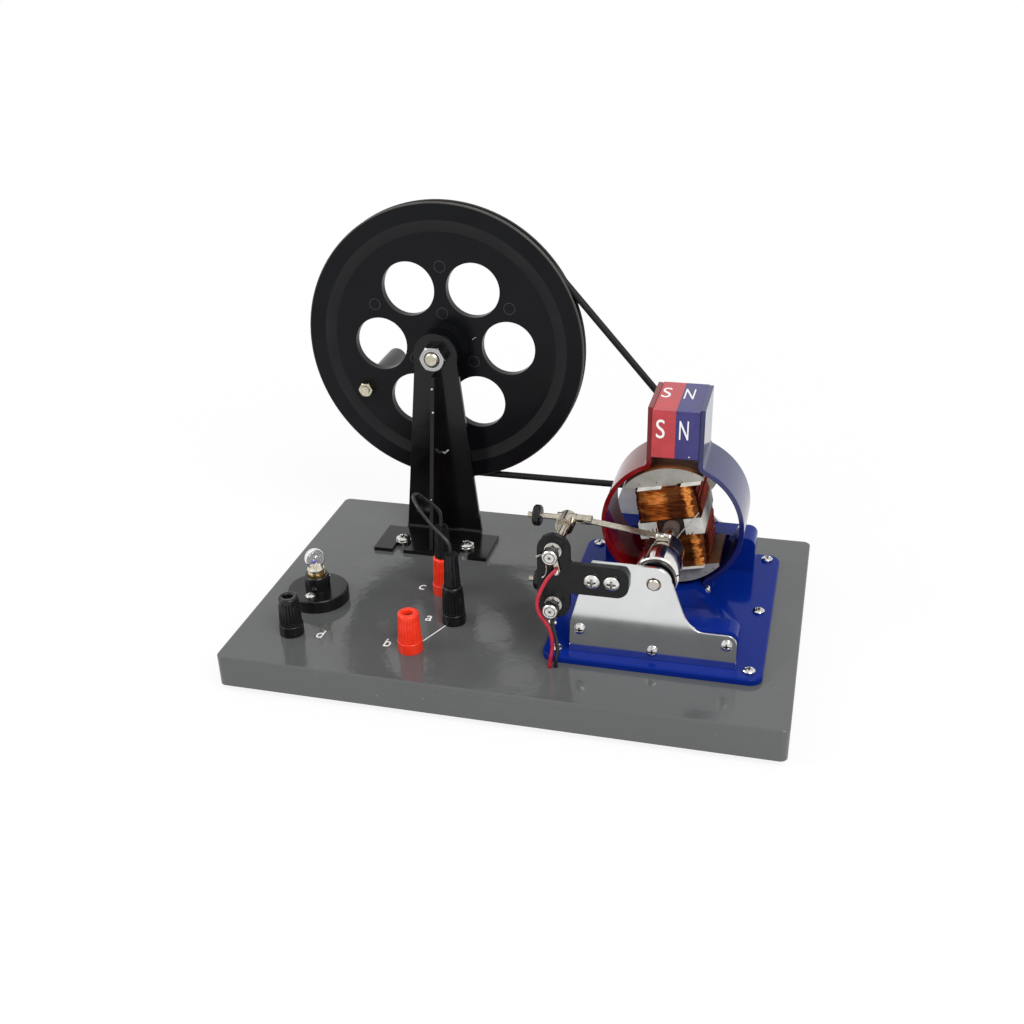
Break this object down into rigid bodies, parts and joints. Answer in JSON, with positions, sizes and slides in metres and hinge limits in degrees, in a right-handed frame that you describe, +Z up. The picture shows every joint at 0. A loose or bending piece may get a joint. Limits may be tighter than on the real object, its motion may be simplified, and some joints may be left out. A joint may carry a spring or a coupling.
{
  "type": "demonstration electric motor",
  "caption": "Classroom motor and generator: a hand-cranked belt wheel drives an open armature between coloured field yokes, with brushes, binding posts and a lamp.",
  "frame": {"origin": "under the middle of the whole apparatus, on the table", "axes": "+X to the right along the base, +Y to the back towards the belt, +Z up"},
  "size_m": [0.3058, 0.2352, 0.2221],
  "materials": {
    "base_plastic": "glossy grey moulding",
    "foot_rubber": "matt black rubber",
    "zinc": "bright zinc plating",
    "dark_zinc": "zinc plating, a little dull",
    "stand_paint": "gloss black paint, chipped",
    "wheel_plastic": "black moulding",
    "grip_plastic": "black moulding",
    "belt_rubber": "dark grey rubber",
    "blue_enamel": "gloss blue enamel",
    "bright_plate": "polished and plated",
    "bronze": "plain",
    "red_paint": "gloss red paint",
    "blue_paint": "gloss blue paint",
    "red_magnet": "red paint",
    "blue_magnet": "violet-blue paint",
    "core_steel": "stacked steel sheets, lacquered edge",
    "copper_wire": "enamelled copper wire",
    "white_paper": "insulating paper",
    "commutator_metal": "turned and polished",
    "black_moulding": "black moulding",
    "shaft_steel": "ground steel",
    "pulley_metal": "turned",
    "black_laminate": "satin black insulating board",
    "nickel": "nickel plated",
    "red_insulation": "red insulation",
    "black_insulation": "black insulation",
    "red_moulding": "red moulding",
    "thin_brass": "thin pressed brass",
    "bulb_clear_glass": "clear blown glass",
    "plug_plastic": "black moulding on a nickel pin",
    "lead_insulation": "black insulation"
  },
  "bodies": {
    "base": {"base_board": "base_plastic", "rubber_feet": "foot_rubber", "foot_screws": "zinc", "stand_bracket": "stand_paint", "stand_screws": "zinc", "axle_bolt": "zinc", "axle_nuts": "dark_zinc", "drive_belt": "belt_rubber", "motor_casting": "blue_enamel", "casting_screws": "zinc", "front_plate": "bright_plate", "rear_plate": "bright_plate", "plate_screws": "zinc", "shaft_bearings": "bronze", "yoke_red": "red_paint", "yoke_blue": "blue_paint", "yoke_screws": "zinc", "magnet_red": "red_magnet", "magnet_blue": "blue_magnet", "brush_plate": "black_laminate", "brush_plate_screws": "zinc", "terminal_rods": "nickel", "terminal_nuts": "nickel", "terminal_lugs": "nickel", "red_wire": "red_insulation", "black_wire": "black_insulation", "post_collars_red": "red_moulding", "post_collars_black": "black_moulding", "post_studs": "nickel", "under_nuts": "zinc", "lamp_holder": "black_moulding", "lamp_screws": "zinc", "lamp_shell": "thin_brass"},
    "wheel": {"belt_wheel": "wheel_plastic", "crank_bolt": "zinc", "crank_nuts": "zinc"},
    "grip": {"crank_grip": "grip_plastic"},
    "armature": {"armature_core": "core_steel", "armature_coils": "copper_wire", "slot_papers": "white_paper", "commutator_segments": "commutator_metal", "commutator_hub": "black_moulding", "armature_shaft": "shaft_steel", "belt_pulley": "pulley_metal", "pulley_screw": "zinc", "thrust_collar": "shaft_steel"},
    "brush_upper": {"brush_clamp_upper": "nickel", "brush_strip_upper": "nickel"},
    "brush_lower": {"brush_clamp_lower": "nickel", "brush_strip_lower": "nickel"},
    "knob_upper": {"brush_knob_upper": "black_moulding"},
    "knob_lower": {"brush_knob_lower": "black_moulding"},
    "cap_a": {"post_cap_a": "black_moulding"},
    "cap_b": {"post_cap_b": "red_moulding"},
    "cap_c": {"post_cap_c": "red_moulding"},
    "cap_d": {"post_cap_d": "black_moulding"},
    "bulb": {"bulb_cap": "thin_brass", "bulb_glass": "bulb_clear_glass"},
    "jumper": {"jumper_plugs": "plug_plastic", "jumper_lead": "lead_insulation"}
  },
  "joints": [
    {"name": "wheel_spin", "type": "hinge", "parent": "base", "child": "wheel", "pos_m": [-0.06828, 0.0642, 0.1375], "axis": [0, 1, 0], "continuous": true},
    {"name": "grip_spin", "type": "hinge", "parent": "wheel", "child": "grip", "pos_m": [-0.11877, 0.0899, 0.10776], "axis": [0, 1, 0], "continuous": true},
    {"name": "armature_spin", "type": "hinge", "parent": "base", "child": "armature", "pos_m": [0.07992, 0, 0.0704], "axis": [0, 1, 0], "continuous": true},
    {"name": "brush_upper_swing", "type": "hinge", "parent": "base", "child": "brush_upper", "pos_m": [0.02952, -0.0466, 0.0859], "axis": [0, 1, 0], "range_deg": [-8, 0]},
    {"name": "brush_lower_swing", "type": "hinge", "parent": "base", "child": "brush_lower", "pos_m": [0.02952, -0.0466, 0.0549], "axis": [0, 1, 0], "range_deg": [0, 8]},
    {"name": "knob_upper_turn", "type": "hinge", "parent": "brush_upper", "child": "knob_upper", "pos_m": [0.01392, -0.0466, 0.0876], "axis": [1, 0, 0], "range_deg": [0, 540]},
    {"name": "knob_lower_turn", "type": "hinge", "parent": "brush_lower", "child": "knob_lower", "pos_m": [0.01392, -0.0466, 0.0489], "axis": [1, 0, 0], "range_deg": [0, 540]},
    {"name": "cap_a_turn", "type": "hinge", "parent": "base", "child": "cap_a", "pos_m": [-0.03207, -0.0558, 0.036], "axis": [0, 0, 1], "range_deg": [0, 1080]},
    {"name": "cap_b_turn", "type": "hinge", "parent": "base", "child": "cap_b", "pos_m": [-0.04668, -0.0879, 0.036], "axis": [0, 0, 1], "range_deg": [0, 1080]},
    {"name": "cap_c_turn", "type": "hinge", "parent": "base", "child": "cap_c", "pos_m": [-0.04668, -0.0261, 0.036], "axis": [0, 0, 1], "range_deg": [0, 1080]},
    {"name": "cap_d_turn", "type": "hinge", "parent": "base", "child": "cap_d", "pos_m": [-0.11568, -0.0861, 0.036], "axis": [0, 0, 1], "range_deg": [0, 1080]},
    {"name": "bulb_lift", "type": "slide", "parent": "base", "child": "bulb", "axis": [0, 0, 1], "range_m": [0, 0.01]},
    {"name": "jumper_lift", "type": "slide", "parent": "base", "child": "jumper", "axis": [0, 0, 1], "range_m": [0, 0.022]}
  ],
  "couplings": [
    {"joint": "armature_spin", "follows": "wheel_spin", "ratio": 5.5782}
  ]
}
